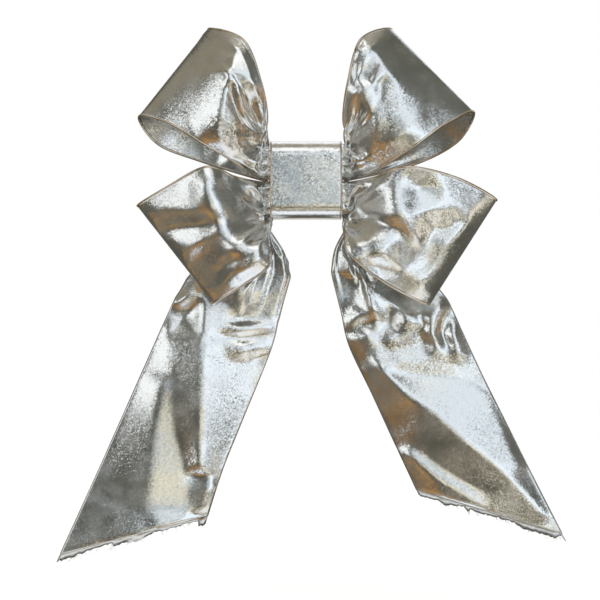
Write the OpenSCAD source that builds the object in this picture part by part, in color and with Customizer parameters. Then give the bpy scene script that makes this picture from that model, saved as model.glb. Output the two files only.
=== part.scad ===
// Four-loop gift bow of silver lame ribbon with two tails and a centre band.
// X runs across the bow, Z is up and the front faces -Y. The origin is on the back of the
// centre band, where the bow rests on a gift or a wreath. All sizes are in millimetres.

/* [Ribbon] */
// Width across the four loops
bow_w = 305; // [295:1:315]
// Thickness of the ribbon, a flattened sewn tube of two layers
ribbon_t = 1.2; // [0.9:0.1:1.5]
// Diameter of the steel wire in each hem
wire_d = 0.9; // [0.6:0.1:1.1]

/* [Centre band] */
// Width of the band, along X
band_w = 61; // [56:1:64]
// Height of the band, along Z
band_h = 66; // [64:1:70]
// Depth of the band, front to back
band_d = 44; // [43:1:48]
// Thickness of the band's doubled fabric
band_t = 1.2; // [0.8:0.1:1.3]
// Radius of the band's two front edges
band_front_r = 12; // [9:1:13]

/* [Gathered waist] */
// Folds in each pleated waist
pleats = 6; // [4:1:6]
// Width of the nylon cable tie that cinches the waist
cinch_w = 4.8; // [3.6:0.2:7.6]

/* [Fastening tie] */
// Length of each free leg of the twist tie
leg_l = 95; // [60:5:110]
// How far each leg slopes down behind the lower loops, in degrees
leg_slope = 30; // [20:5:35]

/* [Hidden] */
$fn = 48;

SILVER = [0.76, 0.77, 0.78];
STEEL = [0.55, 0.56, 0.58];
NYLON = [0.92, 0.92, 0.90];
GLUE = [0.90, 0.87, 0.74];
PVC = [0.70, 0.72, 0.72];

drawn_w = 305;             // width across the loops at which the outlines below are drawn
size = bow_w / drawn_w;    // the loops and tails grow with the bow, and the band doesn't
steps = 6;                 // stations between two points of a loop's edge
tail_steps = 3;            // stations between two points of a tail's edge
rungs = 3;                 // strips across a ribbon
hem = 1.2;                 // the ribbon solid stops this short of the wire's line
clear = 0.4;               // room between pieces that lie against each other
bond = 0.1;                // how far two shapes of one piece run into each other

ring_back = -band_t - clear; // back of the band's ring, with the glue between it and the lap
hinge_x = band_w / 2 + 9;    // where the loops pivot beside the band's mouth
hinge_y = -21;
knuckle_r = 6.5;
knuckle_low = 3;             // the upper and lower loops' knuckles stop this far from the middle
mouth_h = band_h / 2 - 1;
neck_x = hinge_x + 0.5;      // where a loop's sheets leave its knuckle
neck_y = 3.4;                // from the hinge line to each of the two sheets
neck_near = 6;               // heights of the two hems at the neck, from the middle
neck_far = 30;

waist_l = band_w - 3;
waist_low = 1;             // the upper and lower ribbons' waists stop this far from the middle
tail_pleats = 12;
waist_t = 1.6;             // one pleat: the ribbon pressed flat
waist_top = band_h / 2 - 5.5;
loop_waist_front = -band_d + 6;
loop_waist_back = -13;
tail_waist_back = -6.4;
cinch_head_h = 6.2;        // height of the cable tie's head

tie_y = -5.6;              // plane of the twist tie, behind the tail ribbon's waist
tie_w = 3.5;
tie_t = 0.6;
tie_core_r = 0.6;
leg_pivot_x = band_w / 2 + 3.5;
leg_roll_r = 1.6;          // the rolled bend on which a leg turns

tail_y = -8.8;             // back of the tails' sheet
tail_knuckle_x = band_w / 2 + 13.5;
tail_knuckle_z = -16;
tail_knuckle_r = 8;
tail_gather_front = -12.5;
tail_gather_back = -6.8;
tail_ribs = 5;             // pleats that fan out from a tail's knuckle
rib_root = 4;              // half the width of a pleat at the knuckle, and at its tip
rib_tip = 2;
wire_in = 1.4;             // how far inside a tail's edges its wires run
wire_up = 0.6;             // how far above its outline an inner wire is set

// The four corners of a loop's neck, at the hinge: top and bottom, front and back.
function neck(side, z, front) = [side * neck_x, hinge_y + (front ? -neck_y : neck_y), z];
function scaled(P) = [for (p = P) p * size];
function closed_at_neck(side, z, P) = concat([neck(side, z, true)], scaled(P), [neck(side, z, false)]);

// Each edge runs from the neck along the front, round the fold at the loop's end, and back.
UL_LOWER = closed_at_neck(-1, neck_near, [[-60, -40, 15], [-88, -50, 31], [-118, -44, 49],
    [-142, -31, 54], [-127, -13, 32], [-92, -9, 18]]);
UL_UPPER = closed_at_neck(-1, neck_far, [[-33, -38, 50], [-38, -50, 82], [-53, -46, 118],
    [-83, -26, 129], [-62, -9, 112], [-40, -8, 68]]);
UR_LOWER = closed_at_neck(1, neck_near, [[66, -41, 12], [94, -50, 30], [119, -44, 48],
    [143, -31, 58], [130, -13, 34], [94, -9, 15]]);
UR_UPPER = closed_at_neck(1, neck_far, [[32, -38, 50], [36, -50, 84], [47, -46, 119],
    [73, -26, 129], [60, -9, 112], [36, -8, 68]]);
LL_UPPER = closed_at_neck(-1, -neck_near, [[-60, -45, 2], [-84, -56, 10], [-116, -48, -6],
    [-143, -34, -22], [-116, -20, -11], [-84, -17, 2]]);
LL_LOWER = closed_at_neck(-1, -neck_far, [[-34, -43, -48], [-31, -55, -72], [-53, -48, -89],
    [-79, -34, -104], [-60, -20, -89], [-42, -17, -62]]);
LR_UPPER = closed_at_neck(1, -neck_near, [[60, -45, 2], [86, -56, 10], [128, -48, 1],
    [162, -34, -17], [128, -20, -8], [86, -17, 2]]);
LR_LOWER = closed_at_neck(1, -neck_far, [[34, -42, -46], [37, -55, -64], [68, -48, -88],
    [105, -34, -106], [76, -20, -88], [46, -17, -62]]);

// Outlines of the tails, in X and Z, from the neck down the inner hem and up the outer one.
LEFT_INNER = [[-37, -20], [-35, -35], [-19, -60], [-13, -81], [-30, -145], [-71, -247], [-84, -287]];
LEFT_OUTER = [[-211, -320], [-158, -203], [-112, -100], [-96, -76], [-54, -22]];
RIGHT_INNER = [[37, -20], [36, -36], [25, -58], [22, -79], [37, -141], [67, -205], [95, -265]];
RIGHT_OUTER = [[220, -302], [186, -235], [152, -167], [124, -106], [54, -22]];

// Catmull-Rom curve through the points of P, with n stations to each span.
function span_point(a, b, c, d, t) =
    0.5 * (2 * b + (c - a) * t + (2 * a - 5 * b + 4 * c - d) * t * t + (3 * b - a - 3 * c + d) * t * t * t);
function curve(P, n) = let (last = len(P) - 1) concat(
    [for (i = [0:last - 1]) for (k = [0:n - 1])
        span_point(P[max(i - 1, 0)], P[i], P[i + 1], P[min(i + 2, last)], k / n)],
    [P[last]]);

function unit(v) = v / norm(v);
function at(L, i) = L[min(max(i, 0), len(L) - 1)];

// A ribbon of thickness ribbon_t whose two hems follow the curves A and B.
module ribbon(A, B) {
    a = curve(A, steps);
    b = curve(B, steps);
    n = len(a);
    m = rungs + 1;
    mid = [for (i = [0:n - 1]) let (r = unit(b[i] - a[i])) [for (j = [0:rungs])
        let (from = a[i] + r * hem, to = b[i] - r * hem) from + (to - from) * j / rungs]];
    normal = [for (i = [0:n - 1]) [for (j = [0:rungs])
        unit(cross(at(mid, i + 1)[j] - at(mid, i - 1)[j], b[i] - a[i]))]];
    function layer(side) = [for (i = [0:n - 1]) for (j = [0:rungs])
        mid[i][j] + normal[i][j] * side * ribbon_t / 2];
    o = n * m; // where the second layer's points start
    quads = concat(
        [for (i = [0:n - 2]) for (j = [0:rungs - 1])
            [i * m + j, (i + 1) * m + j, (i + 1) * m + j + 1, i * m + j + 1]],
        [for (i = [0:n - 2]) for (j = [0:rungs - 1])
            [o + i * m + j + 1, o + (i + 1) * m + j + 1, o + (i + 1) * m + j, o + i * m + j]],
        [for (i = [0:n - 2]) [o + i * m, o + (i + 1) * m, (i + 1) * m, i * m]],
        [for (i = [0:n - 2]) let (k = i * m + rungs) [k, k + m, o + k + m, o + k]],
        [for (j = [0:rungs - 1]) [j, j + 1, o + j + 1, o + j]],
        [for (j = [0:rungs - 1]) let (k = (n - 1) * m + j) [k + 1, k, o + k, o + k + 1]]);
    polyhedron(concat(layer(1), layer(-1)),
        [for (q = quads) each [[q[0], q[2], q[1]], [q[0], q[3], q[2]]]]);
}

// A round wire along the points of P. It never runs along lean, which turns its rings' first corner.
module wire(P) {
    sides = 6;
    lean = [0.31, 0.17, 0.94];
    n = len(P);
    rings = [for (i = [0:n - 1]) let (
            t = unit(at(P, i + 1) - at(P, i - 1)),
            u = unit(cross(t, lean)),
            v = cross(t, u))
        for (k = [0:sides - 1]) let (turn = k * 360 / sides)
            P[i] + (u * cos(turn) + v * sin(turn)) * wire_d / 2];
    polyhedron(rings, concat(
        [for (i = [0:n - 2]) for (k = [0:sides - 1]) let (a = i * sides, l = (k + 1) % sides)
            each [[a + k, a + sides + k, a + sides + l], [a + k, a + sides + l, a + l]]],
        [[for (k = [0:sides - 1]) k]],
        [[for (k = [sides - 1:-1:0]) (n - 1) * sides + k]]));
}

// The part of a loop's hem that carries wire: it stops short of the gathered neck at both ends.
module hem_wire(E) {
    c = curve(E, steps);
    skip = steps - 1;
    color(STEEL) wire([for (i = [skip:len(c) - 1 - skip]) c[i]]);
}

// Gathered end of a loop, rolled about the hinge line beside the band's mouth.
module loop_knuckle(side, upper) {
    translate([side * hinge_x, hinge_y, upper ? knuckle_low : -mouth_h])
        cylinder(h = mouth_h - knuckle_low, r = knuckle_r);
}

module loop(side, upper, low, high) {
    color(SILVER) union() {
        loop_knuckle(side, upper);
        ribbon(low, high);
    }
}

// Outline in Y and Z with its own corner radius in front and behind.
module rounded_profile(y0, y1, z, front_r, back_r) {
    translate([y0 + front_r, -z]) square([y1 - back_r - y0 - front_r, 2 * z]);
    translate([y0, front_r - z]) square([front_r + bond, 2 * (z - front_r)]);
    translate([y1 - back_r - bond, back_r - z]) square([back_r + bond, 2 * (z - back_r)]);
    for (s = [-1, 1]) {
        translate([y0 + front_r, s * (z - front_r)]) circle(front_r);
        translate([y1 - back_r, s * (z - back_r)]) circle(back_r);
    }
}

// Extrudes a profile drawn in Y and Z along X, centred on X = 0.
module along_x(length) {
    translate([-length / 2, 0, 0]) rotate([90, 0, 90]) linear_extrude(length) children();
}

// Ring round the waist, with its outer end lapped over the inner one behind.
module centre_band() {
    back_r = 6;
    z = band_h / 2;
    lap_low = -26;
    lap_high = 14;
    color(SILVER) union() {
        along_x(band_w) difference() {
            rounded_profile(-band_d, ring_back, z, band_front_r, back_r);
            rounded_profile(band_t - band_d, ring_back - band_t, z - band_t, band_front_r - band_t,
                back_r - band_t);
        }
        translate([-band_w / 2, -band_t, lap_low]) cube([band_w, band_t, lap_high - lap_low]);
        translate([-band_w / 2, ring_back - band_t / 2, lap_high])
            cube([band_w, -ring_back + band_t / 2, band_t]);
    }
}

// Line of hot-melt glue that closes the lap.
module band_glue() {
    glue_l = 48;
    glue_h = 8;
    glue_low = -20;
    color(GLUE) translate([-glue_l / 2, ring_back, glue_low]) cube([glue_l, clear, glue_h]);
}

// Nylon cable tie round the three waists, with its head in the corner behind and below.
module cinch_tie() {
    t = 1.2;
    front_r = 3.6;
    back_r = 1.8;
    z = waist_top + clear;
    y0 = loop_waist_front - clear;
    y1 = tie_y + tie_core_r + clear / 2;
    head_w = cinch_w + 2;
    head_d = 5.6;
    head_y = loop_waist_back + clear * 1.5;
    color(NYLON) union() {
        along_x(cinch_w) difference() {
            rounded_profile(y0 - t, y1 + t, z + t, front_r + t, back_r + t);
            rounded_profile(y0, y1, z, front_r, back_r);
        }
        translate([-head_w / 2, head_y, -z - clear]) cube([head_w, head_d, cinch_head_h]);
    }
}

// Ribbon folded in an accordion: bars of fabric along Y, joined by half rings at alternate ends.
module pleat_profile(y0, y1, z0, z1, folds) {
    pitch = (z1 - z0 - waist_t) / (folds - 1);
    r = (pitch + waist_t) / 2;
    sliver = 0.01; // each half ring just crosses the end of its bars
    for (i = [0:folds - 1])
        translate([y0 + r, z0 + i * pitch]) square([y1 - y0 - 2 * r, waist_t]);
    for (i = [0:folds - 2]) let (front = i % 2 == 0, y = front ? y0 + r : y1 - r)
        translate([y, z0 + i * pitch + r]) intersection() {
            difference() {
                circle(r);
                circle(r - waist_t);
            }
            translate([front ? -r : -sliver, -r]) square([r + sliver, 2 * r]);
        }
}

module loop_waist(z0, z1) {
    color(SILVER) along_x(waist_l) pleat_profile(loop_waist_front, loop_waist_back, z0, z1, pleats);
}

// The tails' ribbon is gathered in many shallow folds, above the cable tie's head.
module tail_ribbon_waist() {
    color(SILVER) along_x(waist_l)
        pleat_profile(loop_waist_back + clear, tail_waist_back, -waist_top + cinch_head_h + 2 * clear,
            waist_top, tail_pleats);
}

// Flat plastic strip with a round steel core, drawn along +X from the origin.
module twist_tie(length) {
    translate([0, -tie_t / 2, -tie_w / 2]) cube([length, tie_t, tie_w]);
    rotate([0, 90, 0]) cylinder(h = length, r = tie_core_r);
}

module twist_tie_core() {
    half = leg_pivot_x - leg_roll_r - 1.5 * clear;
    color(PVC) translate([-half, tie_y, 0]) twist_tie(2 * half);
}

// One leg, bent over at the band's mouth; its rolled bend is the hinge.
module twist_tie_leg(side) {
    turn = side > 0 ? leg_slope : 180 - leg_slope;
    color(PVC) translate([side * leg_pivot_x, tie_y, 0]) rotate([0, turn, 0])
        union() {
            twist_tie(leg_l - tie_w / 2);
            translate([0, 0, -tie_w / 2]) cylinder(h = tie_w, r = leg_roll_r);
            translate([leg_l - tie_w / 2, 0, 0]) rotate([90, 0, 0])
                cylinder(h = tie_t, r = tie_w / 2, center = true);
        }
}

// Extrudes an outline drawn in X and Z from y1 forward to y0.
module along_y(y0, y1) {
    translate([0, y1, 0]) rotate([90, 0, 0]) linear_extrude(y1 - y0) children();
}

// Sheet of doubled ribbon with its gathered neck: a knuckle and pleats that fan out from it.
module tail(side, inner, outer) {
    k = [side * tail_knuckle_x, tail_knuckle_z];
    rib_end = inner[2] * size;
    fan = (outer[2] * size - rib_end) / tail_ribs;
    color(SILVER) union() {
        along_y(tail_y - ribbon_t, tail_y) polygon(scaled(concat(inner, outer)));
        along_y(tail_gather_front, tail_gather_back) {
            translate(k) circle(tail_knuckle_r);
            for (i = [0:tail_ribs - 1]) let (tip = rib_end + fan * (i + 0.5), across = unit(fan))
                polygon([k - across * rib_root, k + across * rib_root, tip + across * rib_tip,
                    tip - across * rib_tip]);
        }
    }
}

// The hem folds behind the sheet round its wire, which follows the outline's points first to last.
module tail_wire(outline, first, last, inward) {
    y = tail_y + wire_d / 2 + bond;
    shifted = [for (i = [first:last]) (outline[i] + inward) * size];
    color(STEEL) wire(curve([for (p = shifted) [p[0], y, p[1]]], tail_steps));
}

module outer_tail_wire(side, outline) { tail_wire(outline, 0, 3, [-side * wire_in, wire_in]); }
module inner_tail_wire(side, outline) { tail_wire(outline, 2, 6, [side * wire_in, wire_up]); }

centre_band();
band_glue();
cinch_tie();
loop_waist(waist_low, waist_top);  // upper_ribbon_waist
loop_waist(-waist_top, -waist_low);  // lower_ribbon_waist
tail_ribbon_waist();
twist_tie_core();
twist_tie_leg(-1);  // left_twist_tie_leg
twist_tie_leg(1);  // right_twist_tie_leg
loop(-1, true, UL_LOWER, UL_UPPER);  // upper_left_loop
loop(1, true, UR_LOWER, UR_UPPER);  // upper_right_loop
loop(-1, false, LL_LOWER, LL_UPPER);  // lower_left_loop
loop(1, false, LR_LOWER, LR_UPPER);  // lower_right_loop
tail(-1, LEFT_INNER, LEFT_OUTER);  // left_tail
tail(1, RIGHT_INNER, RIGHT_OUTER);  // right_tail
hem_wire(UL_LOWER);  // upper_left_lower_hem_wire
hem_wire(UL_UPPER);  // upper_left_upper_hem_wire
hem_wire(UR_LOWER);  // upper_right_lower_hem_wire
hem_wire(UR_UPPER);  // upper_right_upper_hem_wire
hem_wire(LL_UPPER);  // lower_left_upper_hem_wire
hem_wire(LL_LOWER);  // lower_left_lower_hem_wire
hem_wire(LR_UPPER);  // lower_right_upper_hem_wire
hem_wire(LR_LOWER);  // lower_right_lower_hem_wire
outer_tail_wire(-1, LEFT_OUTER);  // left_tail_outer_hem_wire
inner_tail_wire(-1, LEFT_INNER);  // left_tail_inner_hem_wire
outer_tail_wire(1, RIGHT_OUTER);  // right_tail_outer_hem_wire
inner_tail_wire(1, RIGHT_INNER);  // right_tail_inner_hem_wire
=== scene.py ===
"""Looks of the silver lame gift bow: loops, tails, centre band, fastenings, light and camera.

The loops and tails are cloth. Each sheet spans the same two wired hems as its CAD solid, and takes
listed creases and the pleats of its gathered neck. Then its threads settle to their lengths,
while the sheet is kept clear of the pieces round it.

Outlines and creases are in millimetres, as in part.scad, and everything else is in metres.
"""
import math

import bpy
import numpy as np
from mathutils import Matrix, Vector
from mathutils.geometry import delaunay_2d_cdt


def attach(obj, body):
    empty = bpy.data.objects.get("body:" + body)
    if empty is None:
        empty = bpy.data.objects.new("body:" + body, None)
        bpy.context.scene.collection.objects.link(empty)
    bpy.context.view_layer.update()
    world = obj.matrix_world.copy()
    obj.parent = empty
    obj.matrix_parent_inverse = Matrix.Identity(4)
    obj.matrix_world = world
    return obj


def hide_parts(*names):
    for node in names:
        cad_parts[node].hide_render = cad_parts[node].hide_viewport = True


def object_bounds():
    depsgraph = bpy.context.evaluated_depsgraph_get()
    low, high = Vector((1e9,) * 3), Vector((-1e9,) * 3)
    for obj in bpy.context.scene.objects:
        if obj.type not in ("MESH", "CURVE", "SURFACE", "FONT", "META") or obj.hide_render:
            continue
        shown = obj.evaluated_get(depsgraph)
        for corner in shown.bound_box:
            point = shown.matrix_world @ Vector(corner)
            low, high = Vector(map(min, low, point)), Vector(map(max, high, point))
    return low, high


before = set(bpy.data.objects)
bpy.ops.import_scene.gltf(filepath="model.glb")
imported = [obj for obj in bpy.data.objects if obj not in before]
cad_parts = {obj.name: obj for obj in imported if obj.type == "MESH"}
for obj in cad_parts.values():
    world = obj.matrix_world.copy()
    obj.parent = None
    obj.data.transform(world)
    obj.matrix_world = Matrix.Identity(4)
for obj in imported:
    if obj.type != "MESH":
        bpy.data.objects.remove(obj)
cad_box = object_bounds()

MM = 0.001
RIBBON_W = 0.100          # the flattened ribbon, hem to hem
RIBBON_T = 0.0010
THIN_SHARE = 0.6          # cloth of frayed ends and pleated waists, as a share of that
CELL = 0.0015             # spacing of the cloth's grid
HEM_R = 0.0012            # rolled hem round its wire
BAND_X = 0.0305           # half the width and half the height of the centre band
BAND_Z = 0.033


# ---------------------------------------------------------------- curves and grids

PLEAT_SIZES = (0.4, 1.6)   # widths and reaches of pleats, as shares of their mean
PLEAT_TOPS = (0.25, 0.75)  # where a pleat's ridge may lie across it
PLEAT_DEPTHS = (0.4, 1.1)  # depths of pleats, as shares of the deepest named
PLEAT_START = -0.006       # pleats are at their full depth up to this distance
ROUNDING = 7               # passes that round a loop's creases


def curve(points, counts):
    """Catmull-Rom curve through points, with counts[k] rows in span k."""
    points = np.asarray(points, float)
    last = len(points) - 1
    out = []
    for k in range(last):
        a, b, c, d = points[max(k - 1, 0)], points[k], points[k + 1], points[min(k + 2, last)]
        t = (np.arange(counts[k]) / counts[k])[:, None]
        out.append(0.5 * (2 * b + (c - a) * t + (2 * a - 5 * b + 4 * c - d) * t ** 2
                          + (3 * b - a - 3 * c + d) * t ** 3))
    return np.vstack(out + [points[-1:]])


def mm(points):
    """Array in metres of points given in millimetres."""
    return np.array(points, float) * MM


def span_counts(low, high):
    """Rows for each span, so that the rows lie about one cell apart."""
    gaps = (np.linalg.norm(np.diff(low, axis=0), axis=1) + np.linalg.norm(np.diff(high, axis=0), axis=1)) / 2
    return [max(2, round(g / CELL)) for g in gaps]


def smoothstep(x, low, high):
    """0 below low, 1 above high, and an even S between them."""
    t = np.clip((x - low) / (high - low), 0, 1)
    return t * t * (3 - 2 * t)


def ruled(low, high, across):
    """Grid of points on the straight lines between two edges, at the shares across of the way."""
    return low[:, None] * (1 - across)[None, :, None] + high[:, None] * across[None, :, None]


def pleats(distance, across, folds, depth, reach, rng):
    """Lift of the pleats that fan out of the knot: lopsided ridges of uneven width, depth and reach."""
    edges = np.cumsum(np.concatenate([[0], rng.uniform(*PLEAT_SIZES, folds)]))
    edges /= edges[-1]
    lift = np.zeros(distance.shape)
    for left, right in zip(edges[:-1], edges[1:]):
        top = left + (right - left) * rng.uniform(*PLEAT_TOPS)
        ridge = np.interp(across, [left, top, right], [0, 1, 0])
        fade = 1 - smoothstep(distance, PLEAT_START, reach * rng.uniform(*PLEAT_SIZES))
        lift += depth * rng.uniform(*PLEAT_DEPTHS) * ridge[None, :] * fade
    return lift


def crease(*points, spacing=6.0):
    """Anchors (x, z, lift) along a line through points, about spacing mm apart."""
    out = [points[0]]
    for a, b in zip(points[:-1], points[1:]):
        pieces = max(1, round(math.dist(a[:2], b[:2]) / spacing))
        out += [tuple(p + (q - p) * k / pieces for p, q in zip(a, b)) for k in range(1, pieces + 1)]
    return out


def soften(lift, passes):
    """Rounds creases: each pass takes half of a point's lift and half of its four neighbours' mean."""
    for _ in range(passes):
        wide = np.pad(lift, 1, mode="edge")
        lift = lift / 2 + (wide[:-2, 1:-1] + wide[2:, 1:-1] + wide[1:-1, :-2] + wide[1:-1, 2:]) / 8
    return lift


def facets(flat, anchors, rounding=ROUNDING):
    """Lift at each point of the grid flat (x, z): flat triangles between the anchors, then rounded."""
    anchors = np.asarray(anchors, float) * MM
    _, _, faces, origin, _, _ = delaunay_2d_cdt([Vector(p) for p in anchors[:, :2]], [], [], 0, 1e-7, True)
    lift = np.zeros(flat.shape[:2])
    for face in faces:
        a, b, c = (anchors[origin[k][0]] for k in face)
        area = (b[0] - a[0]) * (c[1] - a[1]) - (b[1] - a[1]) * (c[0] - a[0])
        if abs(area) < 1e-12:
            continue
        x, z = flat[:, :, 0], flat[:, :, 1]
        u = ((x - a[0]) * (c[1] - a[1]) - (z - a[1]) * (c[0] - a[0])) / area
        v = ((b[0] - a[0]) * (z - a[1]) - (b[1] - a[1]) * (x - a[0])) / area
        inside = (u >= 0) & (v >= 0) & (u + v <= 1)
        lift[inside] = (a[2] + u * (b[2] - a[2]) + v * (c[2] - a[2]))[inside]
    return soften(lift, rounding)


def rim(grid, gap=4, ends=(0, -1)):
    """Anchors without lift along both hems of a grid and along its end rows."""
    edge = np.vstack([grid[::gap, 0], grid[::gap, -1]] + [grid[end, ::gap] for end in ends]) / MM
    return [(x, z, 0.0) for x, _, z in edge]


def along_row(row, lifts):
    """Anchors at even steps along one row of a grid, with these lifts in mm."""
    places = np.linspace(0, len(row) - 1, len(lifts)).round().astype(int)
    return [(x, z, lift) for (x, _, z), lift in zip(row[places] / MM, lifts)]


def crumples(grid, count, depth, rng, margin=3):
    """Anchors spread over a grid by chance, with lifts in mm of up to depth either way."""
    rows = rng.integers(margin, grid.shape[0] - margin, count)
    cols = rng.integers(margin, grid.shape[1] - margin, count)
    places = grid[rows, cols] / MM
    return [(x, z, lift) for (x, _, z), lift in zip(places, rng.uniform(-depth, depth, count))]


def sheet_normals(grid):
    """Unit normal at each point of a grid."""
    along = np.gradient(grid, axis=0)
    across = np.gradient(grid, axis=1)
    n = np.cross(along, across)
    return n / np.maximum(np.linalg.norm(n, axis=2, keepdims=True), 1e-9)


# ---------------------------------------------------------------- cloth

STRETCH = 1.0             # share of a thread's error that one pass corrects, along and across,
SHEAR = 0.35              # on the diagonals,
BEND = 0.15               # and over two cells
ROUNDS = 25
DRAG = 0.9                # share of its speed that a point keeps in each round


def hold_edges(grid, first, last=0):
    """Freedom of each point: 0 on the hems and on this many first and last rows, and 1 elsewhere."""
    free = np.ones(grid.shape[:2])
    free[:, [0, -1]] = 0
    free[:first] = 0
    free[len(free) - last:] = 0
    return free


def links(grid, slack):
    """Threads of the cloth as (rows, columns, rest length, stiffness): stretch, shear and bend."""
    def rest(rows, cols):
        height, width = grid.shape[0] - rows, grid.shape[1] - abs(cols)
        left, right = max(-cols, 0), max(cols, 0)
        gap = grid[rows:rows + height, right:right + width] - grid[:height, left:left + width]
        return np.linalg.norm(gap, axis=2) * (1 + slack[rows:rows + height, right:right + width])

    return [(rows, cols, rest(rows, cols), stiffness) for rows, cols, stiffness in
            ((1, 0, STRETCH), (0, 1, STRETCH), (1, 1, SHEAR), (1, -1, SHEAR), (2, 0, BEND), (0, 2, BEND))]


def pull(points, free, rows, cols, rest, stiffness):
    """One pass over the threads that join each point to the one that lies rows and cols away."""
    step = 2 * max(rows, abs(cols))
    nu, nv = points.shape[:2]
    ja, jb = (0, cols) if cols >= 0 else (-cols, 0)
    for c in range(step):
        if rows:
            a = (slice(c, nu - rows, step), slice(ja, nv - jb))
            b = (slice(c + rows, nu, step), slice(ja + cols, nv - jb + cols))
            r = rest[c:nu - rows:step]
        else:
            a = (slice(None), slice(c, nv - cols, step))
            b = (slice(None), slice(c + cols, nv, step))
            r = rest[:, c:nv - cols:step]
        d = points[b] - points[a]
        size = np.sqrt((d * d).sum(axis=2))
        weight = free[a] + free[b]
        push = stiffness * (size - r) / np.maximum(size * weight, 1e-9)
        d *= push[:, :, None]
        points[a] += free[a][:, :, None] * d
        points[b] -= free[b][:, :, None] * d


def relax(points, free, slack, keep_clear):
    """Lets the free points settle: threads a share of slack too long, and keep_clear after each round."""
    threads = links(points, slack)
    before = points.copy()
    for _ in range(ROUNDS):
        speed = (points - before) * DRAG
        before = points.copy()
        points += speed * free[:, :, None]
        for rows, cols, rest, stiffness in threads:
            pull(points, free, rows, cols, rest, stiffness)
        keep_clear(points)
    return points


# ---------------------------------------------------------------- meshes

ASKEW = (0.31, 0.17, 0.94)  # a direction that no hem or thread runs along


def grid_mesh(name, grid):
    """Mesh of a grid of points, with its place across and along the cloth as UVs, in metres."""
    nu, nv = grid.shape[:2]
    index = np.arange(nu * nv).reshape(nu, nv)
    quads = np.stack([index[:-1, :-1], index[1:, :-1], index[1:, 1:], index[:-1, 1:]], axis=-1)
    mesh = bpy.data.meshes.new(name)
    mesh.from_pydata(grid.reshape(-1, 3).tolist(), [], quads.reshape(-1, 4).tolist())
    along = np.concatenate([[0], np.cumsum(np.linalg.norm(np.diff(grid, axis=0), axis=2).mean(axis=1))])
    across = np.concatenate([[0], np.cumsum(np.linalg.norm(np.diff(grid, axis=1), axis=2).mean(axis=0))])
    uv = mesh.uv_layers.new(name="cloth")
    corner = np.empty(len(mesh.loops), int)
    mesh.loops.foreach_get("vertex_index", corner)
    places = np.stack([across[corner % nv], along[corner // nv]], axis=1)
    uv.data.foreach_set("uv", places.astype(np.float32).ravel())
    return mesh


def add(name, mesh, material, body):
    """New cloth piece that moves with a body."""
    piece = bpy.data.objects.new(name, mesh)
    bpy.context.scene.collection.objects.link(piece)
    piece.data.materials.clear()
    piece.data.materials.append(material)
    piece.data.polygons.foreach_set("use_smooth", [True] * len(piece.data.polygons))
    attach(piece, body)
    return piece


def thicken(piece, thickness):
    """Gives a sheet its thickness, half on each side."""
    bpy.context.view_layer.objects.active = piece
    solid = piece.modifiers.new("thickness", "SOLIDIFY")
    solid.thickness = thickness
    solid.offset = 0.0
    solid.use_even_offset = False
    bpy.ops.object.modifier_apply(modifier=solid.name)


def tube_mesh(name, paths, radius, sides=8):
    """Tubes along paths, joined in one mesh with capped ends."""
    turns = np.arange(sides) * 2 * math.pi / sides
    verts = []
    faces = []
    for path in paths:
        path = np.asarray(path)
        along = np.gradient(path, axis=0)
        along /= np.linalg.norm(along, axis=1, keepdims=True)
        side = np.cross(along, ASKEW)
        side /= np.linalg.norm(side, axis=1, keepdims=True)
        up = np.cross(along, side)
        first = len(verts)
        for p, s, u in zip(path, side, up):
            verts += [p + radius * (math.cos(t) * s + math.sin(t) * u) for t in turns]
        for i in range(len(path) - 1):
            a = first + i * sides
            faces += [(a + k, a + (k + 1) % sides, a + sides + (k + 1) % sides, a + sides + k)
                      for k in range(sides)]
        last = first + (len(path) - 1) * sides
        faces.append([first + k for k in reversed(range(sides))])
        faces.append([last + k for k in range(sides)])
    mesh = bpy.data.meshes.new(name)
    mesh.from_pydata([tuple(v) for v in verts], [], faces)
    return mesh


# ---------------------------------------------------------------- materials

class Nodes:
    """Short way to add linked shader nodes to a material or world."""

    def __init__(self, owner):
        owner.use_nodes = True
        self.tree = owner.node_tree
        self.tree.nodes.clear()

    def new(self, kind, inputs=None, **settings):
        """New node. Each input is a plain value or the socket of another node."""
        node = self.tree.nodes.new(kind)
        for key, value in settings.items():
            setattr(node, key, value)
        for key, value in (inputs or {}).items():
            if isinstance(value, bpy.types.NodeSocket):
                self.tree.links.new(value, node.inputs[key])
            else:
                node.inputs[key].default_value = value
        return node

    def noise(self, place, scale, detail):
        """Soft noise between 0 and 1, with this many waves to the metre."""
        return self.new("ShaderNodeTexNoise", {"Vector": place, "Scale": scale,
                                               "Detail": detail}).outputs["Fac"]

    def between(self, value, low, high, start=0.0, end=1.0):
        """Value from low to high as another goes from start to end."""
        return self.new("ShaderNodeMapRange", {"Value": value, "From Min": start, "From Max": end,
                                               "To Min": low, "To Max": high}).outputs["Result"]

    def ramp(self, factor, *stops):
        """Colour that goes through these stops (place, colour)."""
        node = self.new("ShaderNodeValToRGB", {"Fac": factor})
        while len(node.color_ramp.elements) < len(stops):
            node.color_ramp.elements.new(0.5)
        for element, (place, colour) in zip(node.color_ramp.elements, stops):
            element.position = place
            element.color = (*colour, 1.0)
        return node.outputs["Color"]

    def bump(self, height, strength, distance):
        """Normal of a surface that noise makes uneven."""
        return self.new("ShaderNodeBump", {"Strength": strength, "Distance": distance,
                                           "Height": height}).outputs["Normal"]

    def surface(self, inputs):
        """Ends a material in a principled shader with these inputs."""
        shader = self.new("ShaderNodeBsdfPrincipled", inputs)
        self.new("ShaderNodeOutputMaterial", {"Surface": shader.outputs["BSDF"]})


def new_material(name):
    """Material, its empty nodes, and the coordinates of a place on the piece."""
    material = bpy.data.materials.new(name)
    n = Nodes(material)
    return material, n, n.new("ShaderNodeTexCoord").outputs["Object"]


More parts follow.
